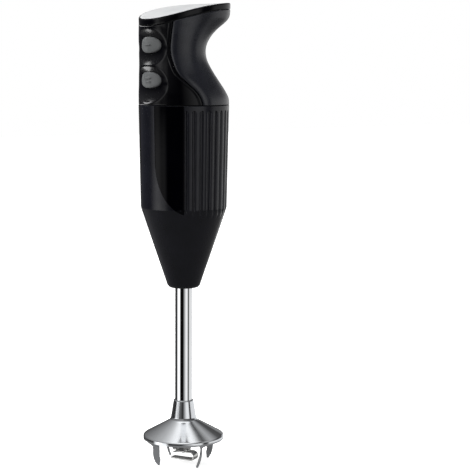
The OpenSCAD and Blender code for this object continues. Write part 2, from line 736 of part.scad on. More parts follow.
// Folded arm: out under the plate, down, and back beneath the hub
loop_w = 6.8;
loop_r = 10.8;
loop_low = 1.9;
loop_back = 9.3;
module cutter_loop() color(steel) rotate(blade_angle) difference() {
    rotate([90, 0, 0]) translate([0, 0, -loop_w / 2]) linear_extrude(loop_w) {
        h = blade_z - 0.02 - loop_low;
        translate([-5, loop_low + h - blade_t]) square([loop_r - h / 2 + 5, blade_t]);
        translate([-loop_back, loop_low]) square([loop_r - h / 2 + loop_back, blade_t]);
        translate([loop_r - h / 2, loop_low + h / 2]) intersection() {
            difference() {
                circle(r = h / 2);
                circle(r = h / 2 - blade_t);
            }
            translate([-0.01, -h]) square([h, 2 * h]);
        }
    }
    translate([0, 0, 5]) cylinder(r = 1.5, h = 8, $fn = 32);
}

module cutter_rivet() color(steel) {
    translate([0, 0, blade_z - blade_t - 0.6]) cylinder(r = 2.4, h = 0.56, $fn = 32);
    translate([0, 0, blade_z - blade_t - 0.1]) cylinder(r = 1.48, h = 2 * blade_t + 0.5, $fn = 32);
}

// ---------------------------------------------------------------- output

lower_housing();
front_shell();
rear_grip();
top_cap();
rating_plate();
cap_gasket();
housing_gasket();
cap_screws();
cord_inlet_bush();
cord_clamp();
clamp_screws();
terminal_block();
button_carrier();
carrier_screws();
switch_low();
switch_high();
circuit_board();
rectifier();
capacitor();
stator_core();
field_coils();
upper_bracket();
lower_bracket();
upper_bearing();
lower_bearing();
brush_holders();
carbon_brushes();
brush_springs();
motor_screws();
motor_damper();
motor_leads();
shaft_tube();
upper_bush();
middle_bush();
lower_bush();
lip_seal();
retaining_ring();
guard();
button_low();
plunger_low();
button_high();
plunger_high();
motor_shaft();
armature_core();
armature_windings();
commutator();
coupling_top();
coupling_rubber();
coupling_bottom();
drive_shaft();
cross_pin();
hub_sleeve();
hub_liner();
cutter_arms();
cutter_loop();
cutter_rivet();
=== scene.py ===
import math
import bmesh
import bpy
import numpy as np
from mathutils import Matrix, Vector


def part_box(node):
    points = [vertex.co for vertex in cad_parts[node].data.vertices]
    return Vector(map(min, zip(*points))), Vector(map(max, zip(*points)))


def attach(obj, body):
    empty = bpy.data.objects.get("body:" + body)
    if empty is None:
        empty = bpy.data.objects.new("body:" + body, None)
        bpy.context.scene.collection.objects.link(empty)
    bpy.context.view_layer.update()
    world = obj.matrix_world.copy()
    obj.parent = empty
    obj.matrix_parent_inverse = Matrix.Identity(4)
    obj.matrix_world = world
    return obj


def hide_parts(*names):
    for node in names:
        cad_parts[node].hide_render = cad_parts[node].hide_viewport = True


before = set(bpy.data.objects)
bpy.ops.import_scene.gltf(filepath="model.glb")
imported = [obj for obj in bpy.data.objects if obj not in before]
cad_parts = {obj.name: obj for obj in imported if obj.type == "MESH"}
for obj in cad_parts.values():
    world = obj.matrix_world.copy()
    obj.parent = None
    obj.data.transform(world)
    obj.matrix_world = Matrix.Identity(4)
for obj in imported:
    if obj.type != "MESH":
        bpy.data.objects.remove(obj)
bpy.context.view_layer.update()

# ---------------------------------------------------------------- camera
# A long lens a little over a metre away, round to the right of the push buttons.
# It stands just below the top of the handle and looks slightly down.
mm = 0.001
turn, pan, tilt, roll = (math.radians(a) for a in (57, 1.942, 6.794, 0.312))
toward = Vector((math.sin(turn), -math.cos(turn), 0))
right = Vector((math.cos(turn), math.sin(turn), 0))
up = Vector((0, 0, 1))
ahead = math.sin(pan) * right - math.cos(pan) * toward
level = math.cos(pan) * right + math.sin(pan) * toward
look = math.cos(tilt) * ahead - math.sin(tilt) * up
lift = math.cos(tilt) * up + math.sin(tilt) * ahead
across = math.cos(roll) * level + math.sin(roll) * lift
upright = math.cos(roll) * lift - math.sin(roll) * level
bpy.ops.object.camera_add()
camera = bpy.context.object
camera.name = "camera"
distance, eye_height = 1115 * mm, 304 * mm
camera.matrix_world = (Matrix.Translation(distance * toward + eye_height * up)
                       @ Matrix((across, upright, -look)).transposed().to_4x4())
camera.data.lens = 116.5
camera.data.sensor_width = 36
camera.data.clip_start = 0.01
bpy.context.scene.camera = camera

# ---------------------------------------------------------------- studio
# Pale floor in a white cove. Polished steel and black plastic are drawn by what they
# mirror, so white cards and black flags stand round the horizon, a card hangs overhead
# and two small soft boxes shine into the finger dishes from above and below.
bpy.context.scene.view_settings.view_transform = "Standard"
bpy.ops.object.select_all(action="DESELECT")
bpy.ops.mesh.primitive_plane_add(size=8, location=(0, 0, -0.3 * mm))
floor = bpy.context.object
floor.name = "floor"
floor.visible_glossy = False
floor.visible_diffuse = False
floor_paint = bpy.data.materials.new("floor_paint")
floor_paint.use_nodes = True
floor_shader = floor_paint.node_tree.nodes["Principled BSDF"]
floor_shader.inputs["Base Color"].default_value = (0.95, 0.95, 0.95, 1)
floor_shader.inputs["Roughness"].default_value = 0.8
floor_shader.inputs["Emission Color"].default_value = (1, 1, 1, 1)
floor_shader.inputs["Emission Strength"].default_value = 0.8
floor.data.materials.append(floor_paint)

world = bpy.data.worlds.new("cove")
bpy.context.scene.world = world
world.use_nodes = True
tree = world.node_tree
tree.nodes.clear()
link = tree.links.new


def cards(source, low, high, steps):
    """Brightness along a direction of the cove, which runs from low to high, from steps of
    (place, brightness)."""
    share = tree.nodes.new("ShaderNodeMapRange")
    share.inputs["From Min"].default_value = low
    share.inputs["From Max"].default_value = high
    strip = tree.nodes.new("ShaderNodeValToRGB")
    for place, bright in steps[1:-1]:
        strip.color_ramp.elements.new((place - low) / (high - low))
    for step, (place, bright) in zip(strip.color_ramp.elements, steps):
        step.position = (place - low) / (high - low)
        step.color = (bright, bright, bright, 1)
    link(source, share.inputs["Value"])
    link(share.outputs["Result"], strip.inputs["Fac"])
    return strip.outputs["Color"]


def round_horizon(*steps):
    """Brightness by degrees round from the camera's side. Left is negative."""
    return cards(bearing.outputs["Result"], -180, 180, steps)


def by_height(*steps):
    """Brightness by the sine of the angle above the horizon."""
    return cards(axes.outputs["Z"], -1, 1, steps)


def blend(kind, a, b, factor=1.0):
    """Two brightnesses mixed, multiplied or added."""
    node = tree.nodes.new("ShaderNodeMix")
    node.data_type = "RGBA"
    node.blend_type = kind
    for value, socket in ((factor, "Factor"), (a, "A"), (b, "B")):
        if isinstance(value, bpy.types.NodeSocket):
            link(value, node.inputs[socket])
        elif socket == "Factor":
            node.inputs[socket].default_value = value
        else:
            node.inputs[socket].default_value = (value, value, value, 1)
    return node.outputs["Result"]


direction = tree.nodes.new("ShaderNodeTexCoord")
facing = tree.nodes.new("ShaderNodeMapping")
facing.inputs["Rotation"].default_value = (0, 0, math.radians(90) - turn)
sweep = tree.nodes.new("ShaderNodeTexGradient")
sweep.gradient_type = "RADIAL"
bearing = tree.nodes.new("ShaderNodeMapRange")
bearing.inputs["To Min"].default_value = -180
bearing.inputs["To Max"].default_value = 180
axes = tree.nodes.new("ShaderNodeSeparateXYZ")
link(direction.outputs["Generated"], facing.inputs["Vector"])
link(facing.outputs["Vector"], sweep.inputs["Vector"])
link(sweep.outputs["Fac"], bearing.inputs["Value"])
link(direction.outputs["Generated"], axes.inputs["Vector"])

# the cove: black to the left of the camera, white cards to the right and behind
horizon = round_horizon(
    (-180, 0.1), (-98, 0.02), (-84, 0.02), (-77, 0.7), (-69, 0.7), (-61, 0.004), (-6, 0.002),
    (14, 0.4), (30, 0.85), (52, 0.85), (60, 0.04), (72, 0.04), (80, 0.7), (106, 0.75),
    (156, 0.75), (168, 0.2), (180, 0.1))
# the sky over it, which the guard's bell mirrors, differs from left to right
above_left = by_height((-1, 0.1), (0.1, 0.15), (0.35, 0.18), (0.64, 0.3), (0.81, 0.45),
                       (0.88, 0.62), (0.94, 1), (1, 1))
above_right = by_height((-1, 0.1), (0.3, 0.06), (0.5, 0.08), (0.72, 0.4), (0.78, 0.3),
                        (0.84, 0.05), (0.88, 0.2), (0.93, 1), (1, 1))
on_right = round_horizon((-180, 0), (-172.8, 0), (-7.2, 0), (7.2, 1), (172.8, 1), (180, 0))
is_above = by_height((-1, 0), (0.1, 0), (0.28, 1), (1, 1))
is_below = by_height((-1, 1), (-0.285, 1), (-0.25, 0), (1, 0))
walls = blend("MIX", horizon, blend("MIX", above_left, above_right, on_right), is_above)
cove = blend("MIX", walls, 0.2, is_below)
# a low card on the left that only the tube and the guard mirror
card_side = round_horizon((-180, 0), (-95.4, 0), (-85.68, 1), (-52.2, 1), (-43.2, 0), (180, 0))
card_rise = by_height((-1, 0), (-0.4, 0), (-0.35, 1), (-0.095, 1), (-0.07, 0), (0.03, 0),
                      (0.05, 0.9), (0.2, 0.9), (0.25, 0), (1, 0))
low_card = blend("MULTIPLY", card_side, card_rise)
# a faint one beside it at the height of the handle
glow_side = round_horizon((-180, 0), (-68.4, 0), (-55.8, 0.16), (-36, 0.13), (-3.6, 0), (180, 0))
glow_rise = by_height((-1, 0), (-0.07, 0), (-0.04, 1), (0.15, 1), (0.25, 0), (1, 0))
glow = blend("MULTIPLY", glow_side, glow_rise)

lit = tree.nodes.new("ShaderNodeBackground")
lit.inputs["Strength"].default_value = 1.25
seen = tree.nodes.new("ShaderNodeBackground")
seen.inputs["Color"].default_value = (1, 1, 1, 1)
path = tree.nodes.new("ShaderNodeLightPath")
either = tree.nodes.new("ShaderNodeMixShader")
out = tree.nodes.new("ShaderNodeOutputWorld")
link(blend("ADD", blend("ADD", cove, low_card), glow), lit.inputs["Color"])
link(path.outputs["Is Camera Ray"], either.inputs["Fac"])
link(lit.outputs["Background"], either.inputs[1])
link(seen.outputs["Background"], either.inputs[2])
link(either.outputs["Shader"], out.inputs["Surface"])

# soft boxes: the dish lights shine on the front shell only, and it mirrors them
dish_lit = bpy.data.collections.new("dish_lit")
for name, spot, aim, wide, tall, energy, mirrored in (
        ("top_light", (-0.1, -0.1, 1.9), 0.15, 2.6, 2.6, 34, False),
        ("side_light", (-1.0, -0.45, 0.6), 0.2, 0.7, 0.7, 17, False),
        ("dish_light_low", (-0.25, -0.06, 0.146), 0.297, 0.2, 0.12, 0.45, True),
        ("dish_light_high", (-0.25, -0.06, 0.45), 0.297, 0.2, 0.12, 0.45, True)):
    bpy.ops.object.light_add(type="AREA", location=spot)
    light = bpy.context.object
    light.name = name
    light.data.shape = "RECTANGLE"
    light.data.size = wide
    light.data.size_y = tall
    light.data.energy = energy
    light.visible_glossy = mirrored
    if mirrored:
        light.light_linking.receiver_collection = dish_lit
    light.rotation_euler = (Vector((0, 0, aim)) - light.location).to_track_quat("-Z", "Y").to_euler()

# ---------------------------------------------------------------- motor housing
# One-piece lower housing, injection moulded in satin black plastic: a straight-sided
# cylinder over a long nose cone. Its back half has moulded grip ribs. The tube is
# clamped in its nose.
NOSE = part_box("lower_housing")[0].z / mm
CONE, JOINT = 191.5, 267.0
HOUSING_R, HOUSING_TAPER, BORE_R = 33.0, 1.4, 30.6
RIB_FIRST, RIB_COUNT = 59.25, 24


def start(operator, name, **settings):
    """Adds a primitive with nothing else selected, and names it."""
    if bpy.context.object and bpy.context.object.mode == "EDIT":
        bpy.ops.object.mode_set(mode="OBJECT")
    bpy.ops.object.select_all(action="DESELECT")
    operator(**settings)
    bpy.context.object.name = name
    bpy.context.object.data.name = name
    return bpy.context.object


def softened(corners, steps=4):
    """Outline with its corners rounded: each corner is (across, up, radius)."""
    outline = []
    for i, (x, y, radius) in enumerate(corners):
        corner = Vector((x, y))
        before = Vector(corners[i - 1][:2]) - corner
        after = Vector(corners[(i + 1) % len(corners)][:2]) - corner
        half = before.angle(after) / 2
        reach = radius / math.tan(half) if radius else 0
        reach = min(reach, before.length * 0.48, after.length * 0.48)
        if reach < 1e-4:
            outline.append(corner)
            continue
        a, b = corner + before.normalized() * reach, corner + after.normalized() * reach
        for k in range(steps + 1):
            t = k / steps
            outline.append((1 - t) ** 2 * a + 2 * t * (1 - t) * corner + t * t * b)
    return outline


def lathe(name, outline, steps=128):
    """Turns a closed outline of (radius, height) in millimetres about the Z axis."""
    ring = start(bpy.ops.mesh.primitive_circle_add, name, vertices=len(outline), radius=1)
    for vertex, (radius, z) in zip(ring.data.vertices, outline):
        vertex.co = (radius * mm, 0, z * mm)
    bpy.ops.object.mode_set(mode="EDIT")
    bpy.ops.mesh.select_all(action="SELECT")
    bpy.ops.mesh.spin(steps=steps, angle=math.tau, center=(0, 0, 0), axis=(0, 0, 1))
    close()
    return ring


def close():
    """Merges doubles, turns the faces outwards and leaves edit mode."""
    bpy.ops.mesh.select_all(action="SELECT")
    bpy.ops.mesh.remove_doubles(threshold=0.002 * mm)
    bpy.ops.mesh.normals_make_consistent(inside=False)
    bpy.ops.object.mode_set(mode="OBJECT")


def choose(test, kind="verts"):
    """In edit mode, selects each vertex, edge or face whose middle passes the test."""
    bpy.ops.mesh.select_mode(type={"verts": "VERT", "edges": "EDGE", "faces": "FACE"}[kind])
    bpy.ops.mesh.select_all(action="DESELECT")
    mesh = bmesh.from_edit_mesh(bpy.context.object.data)
    for part in getattr(mesh, kind):
        if kind == "verts":
            middle = part.co
        else:
            middle = sum((v.co for v in part.verts), Vector()) / len(part.verts)
        part.select_set(test(middle))
    mesh.select_flush_mode()
    bmesh.update_edit_mesh(bpy.context.object.data)


def work(piece, kind, **settings):
    """Adds a modifier, sets it and applies it."""
    bpy.ops.object.select_all(action="DESELECT")
    piece.select_set(True)
    bpy.context.view_layer.objects.active = piece
    modifier = piece.modifiers.new(kind.lower(), kind)
    for key, value in settings.items():
        setattr(modifier, key, value)
    bpy.ops.object.modifier_apply(modifier=modifier.name)


def seat(piece, body, slot, finish, *nodes, smooth=35):
    """Finishes a piece: smooth faces, material, the body it moves with, the nodes it stands for."""
    bpy.ops.object.select_all(action="DESELECT")
    piece.select_set(True)
    bpy.context.view_layer.objects.active = piece
    bpy.ops.object.transform_apply(location=True, rotation=True, scale=True)
    bpy.ops.object.shade_smooth_by_angle(angle=math.radians(smooth))
    piece.data.materials.clear()
    piece.data.materials.append(finish)
    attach(piece, body)
    if nodes:
        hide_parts(*nodes)


def made_of(name, dark, light, cloud, rough, grain, bump, stretch=(1, 1, 1), **constants):
    """A finish. Its colour wanders between dark and light in clouds of a size, its roughness
    between two values, and a grain of a size and depth lifts the surface. Sizes in mm."""
    material = bpy.data.materials.new(name)
    material.use_nodes = True
    tree = material.node_tree
    shader = tree.nodes["Principled BSDF"]
    add, link = tree.nodes.new, tree.links.new
    where = add("ShaderNodeTexCoord")
    spread = add("ShaderNodeMapping")
    spread.inputs["Scale"].default_value = stretch
    link(where.outputs["Object"], spread.inputs["Vector"])
    clouds = add("ShaderNodeTexNoise")
    clouds.inputs["Scale"].default_value = 1 / (cloud * mm)
    clouds.inputs["Detail"].default_value = 5
    link(spread.outputs["Vector"], clouds.inputs["Vector"])
    shade = add("ShaderNodeValToRGB")
    shade.color_ramp.elements[0].position = 0.32
    shade.color_ramp.elements[0].color = (*dark, 1)
    shade.color_ramp.elements[1].position = 0.68
    shade.color_ramp.elements[1].color = (*light, 1)
    link(clouds.outputs["Fac"], shade.inputs["Fac"])
    link(shade.outputs["Color"], shader.inputs["Base Color"])
    grains = add("ShaderNodeTexNoise")
    grains.inputs["Scale"].default_value = 1 / (grain * mm)
    grains.inputs["Detail"].default_value = 3
    link(spread.outputs["Vector"], grains.inputs["Vector"])
    patches = add("ShaderNodeTexNoise")
    patches.inputs["Scale"].default_value = 1 / (cloud * 0.37 * mm)
    patches.inputs["Detail"].default_value = 4
    link(spread.outputs["Vector"], patches.inputs["Vector"])
    matt = add("ShaderNodeMapRange")
    matt.inputs["From Min"].default_value = 0.3
    matt.inputs["From Max"].default_value = 0.7
    matt.inputs["To Min"].default_value = rough[0]
    matt.inputs["To Max"].default_value = rough[1]
    link(patches.outputs["Fac"], matt.inputs["Value"])
    link(matt.outputs["Result"], shader.inputs["Roughness"])
    relief = add("ShaderNodeBump")
    relief.inputs["Strength"].default_value = 1
    relief.inputs["Distance"].default_value = bump * mm
    link(grains.outputs["Fac"], relief.inputs["Height"])
    link(relief.outputs["Normal"], shader.inputs["Normal"])
    for socket, value in constants.items():
        shader.inputs[socket.replace("_", " ")].default_value = value
    return material


satin_black = made_of("satin_black", (0.008, 0.0085, 0.013), (0.011, 0.0115, 0.018), cloud=14,
                      rough=(0.2, 0.27), grain=0.3, bump=0.003, Specular_IOR_Level=0.32)
wall_rows = [(HOUSING_R - HOUSING_TAPER * (JOINT - z) / (JOINT - CONE - 1.2), z, 0)
             for z in (194, 196, 200, 206, 212, 218, 224, 230, 236, 242, 248, 254, 258, 261,
                       262, 262.5, 262.9, 263.2, 263.5, 263.8, 264.1, 264.5, 265.3)]
housing_outline = softened([
    (6.42, NOSE, 0.3), (10.6, NOSE, 0.8), (12.15, NOSE + 1.7, 1.6), (14.9, 142.5, 0), (18.5, 153, 0),
    (22.2, 164, 0), (26.0, 175.2, 0), (29.2, 184.8, 0), (30.45, 188.5, 0), (31.55, CONE + 0.4, 3.2),
    *wall_rows, (HOUSING_R, JOINT, 0.5), (BORE_R, JOINT, 0.3), (BORE_R, 264, 0), (29.3, 192, 1),
    (15.2, 152, 1), (9.4, 150, 0.5), (6.42, 150, 0.3)], steps=6)
housing = lathe("lower_housing_shell", housing_outline, steps=720)

# grip grooves with round bottoms and round ends, and slightly crowned ribs between them.
# Each step is a depth, its lowest and highest point, and how far from a groove's middle
# it starts and ends, in degrees.
bpy.ops.object.mode_set(mode="EDIT")
pitch = (360 - 2 * RIB_FIRST) / (RIB_COUNT - 1)
wall_middle = HOUSING_R - HOUSING_TAPER / 2
for depth, low, high, near, far in (
        (1.15, 189.2, 263.3, 0.0, 0.4), (1.1, 189.2, 263.3, 0.4, 0.8), (0.95, 189.0, 262.95, 0.8, 1.3),
        (0.38, 189.0, 262.6, 1.3, 1.8), (0.2, 190.5, 262, 1.8, 2.3), (0.12, 190.5, 262, 2.3, 2.8),
        (0.06, 190.5, 262, 2.8, 3.3), (0.02, 190.5, 262, 3.3, 3.8)):
    def in_groove(p):
        if not low * mm < p.z < high * mm or math.hypot(p.x, p.y) < (BORE_R + 0.25) * mm:
            return False
        angle = abs(math.degrees(math.atan2(p.x, -p.y)))
        if not RIB_FIRST - 4 < angle:
            return False
        offset = abs((angle - RIB_FIRST + pitch / 2) % pitch - pitch / 2)
        return near <= offset < far
    choose(in_groove)
    shrink = 1 - depth / wall_middle
    bpy.ops.transform.resize(value=(shrink, shrink, 1), center_override=(0, 0, 0))
close()
seat(housing, "body", "gloss_black", satin_black, "lower_housing", smooth=40)

# ---------------------------------------------------------------- label panels
# A polished panel each side of the housing's satin front strip, left blank. Its lower
# edge sweeps round from the strip to the first rib. Moulded with the housing, and a
# hair proud of it.
STRIP, PANEL_END = 16.6, 57.6
SWEEP_TOP, SWEEP_DROP, SWEEP_MIDDLE, SWEEP_HALF = 227.5, 39.5, 67, 50.4


def sheet(name, columns, rows, place):
    """A grid bent to place(column values, row values), which gives millimetres."""
    grid = start(bpy.ops.mesh.primitive_grid_add, name, x_subdivisions=len(columns) - 1,
                 y_subdivisions=len(rows) - 1, size=2)
    flat = np.empty(len(grid.data.vertices) * 3)
    grid.data.vertices.foreach_get("co", flat)
    flat = flat.reshape(-1, 3)
    i = np.rint((flat[:, 0] + 1) / 2 * (len(columns) - 1)).astype(int)
    j = np.rint((flat[:, 1] + 1) / 2 * (len(rows) - 1)).astype(int)
    x, y, z = place(np.asarray(columns)[i], np.asarray(rows)[j])
    grid.data.vertices.foreach_set("co", (np.stack([x, y, z], 1) * mm).ravel())
    grid.data.update()
    return grid


def panel_skin(angle, share):
    """Point on a panel: degrees round from the front, and how far up from its lower edge."""
    low = SWEEP_TOP - SWEEP_DROP * np.sqrt(1 - ((SWEEP_MIDDLE - angle) / SWEEP_HALF) ** 2)
    low = low + 0.6 * ((angle - STRIP < 0.4) | (PANEL_END - angle < 0.4))
    z = low + share * (JOINT - 0.25 - low)
    radius = np.minimum(HOUSING_R - 1.5 * (JOINT - z) / (JOINT - CONE - 1.2),
                        30.45 + (z - 188.5) * 0.34)
    edge = np.minimum(np.minimum(angle - STRIP, PANEL_END - angle) * 0.57, (z - low) * 1.0)
    radius = radius + 0.14 * np.clip(edge / 0.25, 0, 1) ** 0.5 - 0.02
    return (radius * np.sin(np.radians(angle)), -radius * np.cos(np.radians(angle)), z)


gloss_black = made_of("gloss_black", (0.0006, 0.0006, 0.0015), (0.0012, 0.0012, 0.0026),
                      cloud=20, rough=(0.05, 0.1), grain=2.2, bump=0.004,
                      Specular_IOR_Level=0.08)
panel_columns = STRIP + (PANEL_END - STRIP) * np.concatenate(
    ([0, 0.004, 0.01], np.linspace(0.03, 0.97, 48), [0.99, 0.996, 1]))
panel_rows = np.concatenate(([0, 0.003, 0.008, 0.015], np.linspace(0.04, 1, 40)))
for side, name in ((1, "label_panel_right"), (-1, "label_panel_left")):
    panel = sheet(name, panel_columns, panel_rows, panel_skin)
    if side < 0:
        bpy.ops.transform.mirror(constraint_axis=(True, False, False))
        bpy.ops.object.transform_apply(location=True, rotation=True, scale=True)
        bpy.ops.object.mode_set(mode="EDIT")
        bpy.ops.mesh.select_all(action="SELECT")
        bpy.ops.mesh.flip_normals()
        bpy.ops.object.mode_set(mode="OBJECT")
    work(panel, "SOLIDIFY", thickness=0.3 * mm, offset=-1)
    seat(panel, "body", "gloss_black", gloss_black, smooth=50)

# ---------------------------------------------------------------- front shell
# The handle's front shell, moulded in gloss black. Two finger dishes are sunk round the
# button openings, a fine bead runs beside the seam, and a small notch marks the joint.
HANDLE = [
    (266, -33.0, 33.0, 33.0), (271.5, -32.9, 32.4, 32.9), (277, -32.8, 29.2, 32.3),
    (284, -32.4, 23.5, 31.2), (292, -31.9, 17.2, 29.6), (299, -31.5, 12.7, 28.5),
    (305, -31.4, 11.2, 28.0), (311, -31.6, 12.3, 28.1), (317, -32.0, 16.5, 28.5),
    (322, -32.4, 22.2, 28.9), (326.5, -32.6, 28.8, 29.3), (330, -32.8, 32.3, 29.7),
    (334, -32.9, 33.2, 30.0), (342, -33.0, 33.2, 30.2)]
SEAM_LINE = [(266, -4.5), (272, -6.4), (277, -9.7), (282.5, -15.4), (289, -21.1),
             (298, -24.2), (307, -25.4), (318, -24.9), (327, -23.9), (345, -22.5)]
DOME_R, DOME_Y, DOME_Z, CAP_T = 170.0, 31.2, 170.6, 4.3
SEAM_GAP, SHELL_WALL = 0.1, 2.4
BUTTON_LOW, BUTTON_HIGH = 285.0, 310.0
BUTTON_WIDE, BUTTON_TALL, OVAL = 13.0, 5.8, 2 / 2.25
heights = np.arange(266, 344.01, 0.25)


def smooth_curve(stations, column, z):
    """Value of one column of the stations at height z, on a smooth curve through them."""
    i = max(k for k in range(len(stations) - 1) if stations[k][0] <= z)
    a, b = stations[i], stations[i + 1]
    before, after = stations[max(i - 1, 0)], stations[min(i + 2, len(stations) - 1)]
    d = b[0] - a[0]
    s = (z - a[0]) / d
    slope_a = (b[column] - before[column]) / (b[0] - before[0])
    slope_b = (after[column] - a[column]) / (after[0] - a[0])
    return (a[column] * (2 * s ** 3 - 3 * s ** 2 + 1) + slope_a * d * (s ** 3 - 2 * s ** 2 + s)
            + b[column] * (3 * s ** 2 - 2 * s ** 3) + slope_b * d * (s ** 3 - s ** 2))


fronts, backs, halves = ([smooth_curve(HANDLE, k, z) for z in heights] for k in (1, 2, 3))
seams = [smooth_curve(SEAM_LINE, 1, z) for z in heights]


def skin(angle, z, inset=0.0):
    """Point (x, y) of the handle's skin at an angle in radians round from the front."""
    front, back, half = (np.interp(z, heights, t) for t in (fronts, backs, halves))
    power = 2 / (2 + 0.3 * (z - JOINT) / (342 - JOINT))
    s, c = np.sin(angle), np.cos(angle)
    x = (half - inset) * np.sign(s) * np.abs(s) ** power
    y = (front + back) / 2 - ((back - front) / 2 - inset) * np.sign(c) * np.abs(c) ** power
    return x, y


def seam_angle(z, gap):
    """Angle at which the skin crosses the seam line, moved back by gap."""
    low, high = np.zeros_like(z), np.full_like(z, math.pi)
    target = np.interp(z, heights, seams) + gap
    for _ in range(26):
        middle = (low + high) / 2
        below = skin(middle, z)[1] < target
        low, high = np.where(below, middle, low), np.where(below, high, middle)
    return (low + high) / 2


def dome(y, drop):
    """Height of the domed top at y, moved down by drop."""
    return DOME_Z + np.sqrt((DOME_R - drop) ** 2 - (y - DOME_Y) ** 2)


def rolled(distance, radius):
    """How far a rounded edge falls back at a distance from the edge."""
    d = np.clip(radius - distance, 0, radius)
    return radius - np.sqrt(radius ** 2 - d ** 2)


def shell_point(s, t, gap, span):
    """Where a shell's grid point lies before details: s is -1 to 1 across, t is 0 to 1 up.
    span(z, gap) gives the shell's middle angle and half its angle at a height."""
    top = np.full_like(s, 325.0)
    for _ in range(8):
        middle, half = span(top, gap)
        top = dome(skin(middle + half * s, top)[1], CAP_T + 0.3)
    z = JOINT + 0.15 + t * (top - JOINT - 0.15)
    middle, half = span(z, gap)
    return middle + half * s, z, top


def front_skin(s, t):
    """Skin of the front shell."""
    angle, z, top = shell_point(s, t, -SEAM_GAP, lambda z, gap: (0.0, seam_angle(z, gap)))
    half = seam_angle(z, -SEAM_GAP)
    to_seam = (1 - np.abs(s)) * half * 30
    inset = rolled(z - JOINT - 0.15, 0.5) + rolled(top - z, 0.5) + rolled(to_seam, 0.5)
    bead = np.exp(-((to_seam - 2.3) / 0.33) ** 2)
    inset = inset - 0.3 * bead
    # notch above the joint, almond shaped
    x, y = skin(angle, z)
    almond = np.abs(z - 269.4) / 1.15 + (np.abs(x) / 5.7) ** 2
    front = y < 0
    inset = inset + np.where(front, 0.9 * np.clip((1.05 - almond) / 0.5, 0, 1), 0)
    x, y = skin(angle, z, inset)
    # finger dishes: the surface is pulled back to a round groove swept about an upright axis
    axis_y, floor_y, sweep_r = 60.0, -28.7, 28.5
    for button_z in (BUTTON_LOW, BUTTON_HIGH):
        lift = np.clip(np.abs(z - button_z + 2.4), 0, sweep_r)
        dish = axis_y - floor_y + sweep_r - np.sqrt(sweep_r ** 2 - lift ** 2)
        reach = np.hypot(x, y - axis_y)
        # a soft least value rounds the dish's rim
        soft = 0.12
        least = -soft * np.logaddexp(-reach / soft, -dish / soft)
        scale = least / reach
        x, y = x * scale, axis_y + (y - axis_y) * scale
    return x, y, z


def oval_block(name, z, grow, y_front, y_back):
    """Upright-faced block with a button's wide oval outline, from y_front back to y_back."""
    ring = start(bpy.ops.mesh.primitive_circle_add, name, vertices=96, radius=1, fill_type="NGON")
    for vertex in ring.data.vertices:
        a = math.atan2(vertex.co.y, vertex.co.x)
        wide, tall = (BUTTON_WIDE + grow) * mm, (BUTTON_TALL + grow) * mm
        c, s = math.cos(a), math.sin(a)
        vertex.co = (wide * math.copysign(abs(c) ** OVAL, c), y_front * mm,
                     z * mm + tall * math.copysign(abs(s) ** OVAL, s))
    bpy.ops.object.mode_set(mode="EDIT")
    bpy.ops.mesh.select_all(action="SELECT")
    bpy.ops.mesh.extrude_region_move(
        TRANSFORM_OT_translate={"value": (0, (y_back - y_front) * mm, 0)})
    close()
    return ring


def carve(piece, cutter, operation="DIFFERENCE"):
    """Cuts one solid from another, or joins it on, and removes it."""
    work(piece, "BOOLEAN", object=cutter, operation=operation, solver="EXACT")
    bpy.data.objects.remove(cutter)


edge_share = np.array([0, 0.006, 0.014, 0.024, 0.034, 0.043, 0.051, 0.059, 0.067, 0.075,
                       0.085, 0.1, 0.12])
half_columns = np.concatenate((1 - edge_share, np.linspace(0.865, 0, 80)))
front_columns = np.concatenate((-half_columns, half_columns[-2::-1]))
end_share = np.array([0, 0.002, 0.005, 0.009])
front_rows = np.concatenate((end_share, np.linspace(0.018, 0.982, 112), 1 - end_share[::-1]))
front_shell = sheet("front_shell_skin", front_columns, front_rows, front_skin)
work(front_shell, "SOLIDIFY", thickness=SHELL_WALL * mm, offset=-1)
for button_z in (BUTTON_LOW, BUTTON_HIGH):
    carve(front_shell, oval_block("opening", button_z, 0.35, -40, -18))
shell_black = made_of("shell_black", (0.0008, 0.0008, 0.002), (0.0016, 0.0016, 0.0034), cloud=18,
                      rough=(0.12, 0.18), grain=0.9, bump=0.004, Specular_IOR_Level=0.2)
seat(front_shell, "body", "gloss_black", shell_black, "front_shell", smooth=40)
dish_lit.objects.link(front_shell)

# ---------------------------------------------------------------- rear grip
# Rear half of the handle, moulded in a fine-textured soft satin plastic. Its front edge
# stands a little proud and is rolled over, and the waist behind it fits the hand.


def rear_skin(s, t):
    """Skin of the rear grip."""
    angle, z, top = shell_point(
        s, t, SEAM_GAP, lambda z, gap: (math.pi, math.pi - seam_angle(z, gap)))
    half = math.pi - seam_angle(z, SEAM_GAP)
    to_seam = (1 - np.abs(s)) * half * 30
    inset = rolled(z - JOINT - 0.15, 0.5) + rolled(top - z, 0.5) + rolled(to_seam, 1.1)
    inset = inset + 0.22 * rolled(to_seam, 7.0) - 0.7 * np.exp(-(to_seam / 9) ** 2)
    x, y = skin(angle, z, inset)
    return x, y, z


